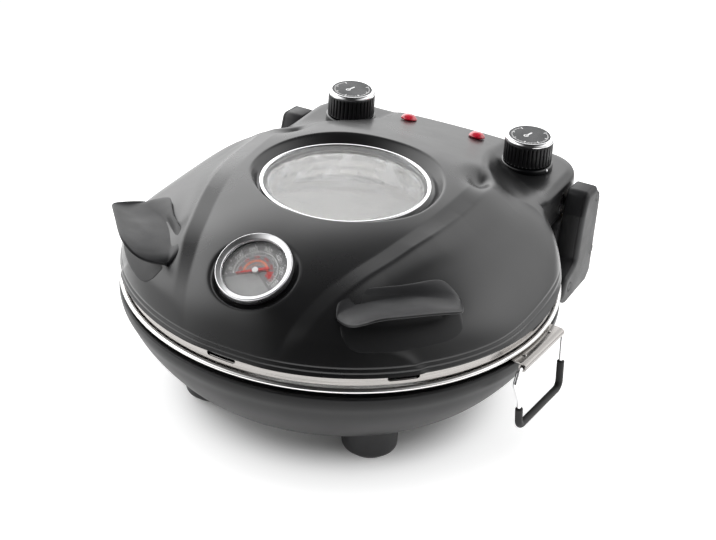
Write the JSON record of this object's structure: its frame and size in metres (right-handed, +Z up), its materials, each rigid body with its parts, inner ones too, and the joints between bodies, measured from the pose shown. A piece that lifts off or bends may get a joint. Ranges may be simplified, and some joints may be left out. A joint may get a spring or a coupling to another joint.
{
  "type": "electric pizza maker",
  "caption": "Round countertop pizza cooker with a hinged domed lid, glass viewing window, dial thermometer, side grips, heat knobs and a stone tray with folding bail handles.",
  "frame": {"origin": "middle of the bounding box in plan, on the surface the foot pads stand on", "axes": "+Z up, -Y towards the front (dial thermometer), +X to the object's right, hinge at +Y"},
  "size_m": [0.3762, 0.384, 0.1815],
  "materials": {
    "black_shell": "satin heat-resistant black",
    "black_plastic": "matte black moulded",
    "gloss_black": "gloss black moulded",
    "knob_disc": "fine-textured dark grey",
    "rubber": "black",
    "steel": "bright steel sheet",
    "chrome": "polished",
    "zinc": "plated",
    "element": "dark oxidised sheath",
    "stone": "unglazed",
    "aluminium": "bright reflector sheet",
    "glass": "clear tempered",
    "lamp": "translucent red",
    "dial": "printed grey",
    "pointer": "red lacquer",
    "ceramic": "glazed",
    "bronze": "sintered",
    "silicone": "grey"
  },
  "bodies": {
    "base": {"base_bottom_plate": "zinc", "base_bottom_screws": "zinc", "base_bowl": "black_shell", "base_reflector_pan": "aluminium", "base_terminal_block": "ceramic", "collar_rivets": "chrome", "cord_gland": "black_plastic", "feet": "black_plastic", "foot_pads": "rubber", "foot_screws": "zinc", "hinge_arm_covers": "black_plastic", "hinge_arms": "black_plastic", "hinge_base_brackets": "black_plastic", "hinge_cover_screws": "zinc", "hinge_pins": "zinc", "hinge_retaining_clips": "zinc", "lower_element_clips": "zinc", "lower_heating_element": "element", "pizza_stone": "stone", "rim_collar": "black_shell", "stone_tray": "chrome", "thermal_cutout": "ceramic", "tray_brackets": "steel"},
    "lid": {"gauge_bezel": "chrome", "gauge_case": "steel", "gauge_dial": "dial", "gauge_lens": "glass", "gauge_nut": "zinc", "gauge_probe": "steel", "handle_screws": "zinc", "hinge_bushes": "bronze", "knob_index_dots": "chrome", "knob_skirts": "gloss_black", "lamp_holders": "black_plastic", "lamp_lenses": "lamp", "lid_handles": "black_plastic", "lid_rear_cover": "black_shell", "lid_reflector": "aluminium", "lid_rim_band": "steel", "lid_shell": "black_shell", "thermostats": "zinc", "upper_element_clips": "zinc", "upper_heating_element": "element", "window_gasket": "silicone", "window_glass": "glass", "window_trim_ring": "chrome", "window_tunnel": "aluminium"},
    "knob_left": {"knob_body_left": "black_plastic", "knob_cap_disc_left": "knob_disc", "knob_cap_ring_left": "chrome", "knob_shaft_left": "zinc"},
    "knob_right": {"knob_body_right": "black_plastic", "knob_cap_disc_right": "knob_disc", "knob_cap_ring_right": "chrome", "knob_shaft_right": "zinc"},
    "pointer": {"gauge_pointer": "pointer"},
    "bail_left": {"bail_wire_left": "chrome", "bail_grip_left": "rubber"},
    "bail_right": {"bail_wire_right": "chrome", "bail_grip_right": "rubber"}
  },
  "joints": [
    {"name": "lid_hinge", "type": "hinge", "parent": "base", "child": "lid", "pos_m": [0, 0.162, 0.114], "axis": [-1, 0, 0], "range_deg": [0, 95]},
    {"name": "knob_left_turn", "type": "hinge", "parent": "lid", "child": "knob_left", "pos_m": [-0.0839, 0.1528, 0.15], "axis": [0, 0, -1], "range_deg": [0, 270]},
    {"name": "knob_right_turn", "type": "hinge", "parent": "lid", "child": "knob_right", "pos_m": [0.0839, 0.1528, 0.15], "axis": [0, 0, -1], "range_deg": [0, 270]},
    {"name": "pointer_turn", "type": "hinge", "parent": "lid", "child": "pointer", "pos_m": [0, -0.1556, 0.1674], "axis": [0, 0.4955, -0.8686], "range_deg": [0, 231], "stiffness_Nm_per_rad": 0.0002},
    {"name": "bail_right_fold", "type": "hinge", "parent": "base", "child": "bail_right", "pos_m": [0.17877, -0.03521, 0.0926], "axis": [-0.0958, -0.9954, 0], "range_deg": [-12, 105]},
    {"name": "bail_left_fold", "type": "hinge", "parent": "base", "child": "bail_left", "pos_m": [-0.17877, -0.00079, 0.0926], "axis": [0.0958, 0.9954, 0], "range_deg": [-12, 105]}
  ]
}
